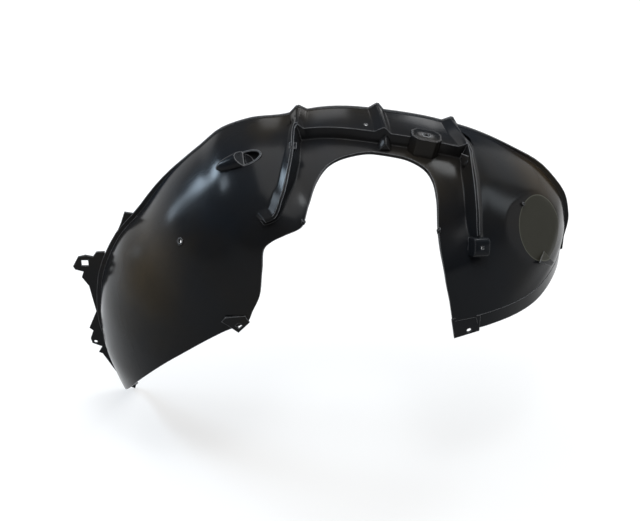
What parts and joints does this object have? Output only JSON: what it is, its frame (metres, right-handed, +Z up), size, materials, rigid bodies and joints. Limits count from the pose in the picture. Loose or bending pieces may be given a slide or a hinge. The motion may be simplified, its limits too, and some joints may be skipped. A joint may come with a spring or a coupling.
{
  "type": "wheel arch liner",
  "caption": "Front wheel arch liner: a moulded shell with a strut pocket, ribs, a raised fixing turret, an air scoop and edge tabs.",
  "frame": {"origin": "mouth of the fixing hole in the turret on the roof", "axes": "+Z up, +Y out from the hub side to the fender lip, +X towards the car's rear"},
  "size_m": [0.7918, 0.216, 0.5572],
  "materials": {
    "black_plastic": "moulded black with a soft gloss"
  },
  "bodies": {
    "root": {"liner": "black_plastic"}
  },
  "joints": []
}
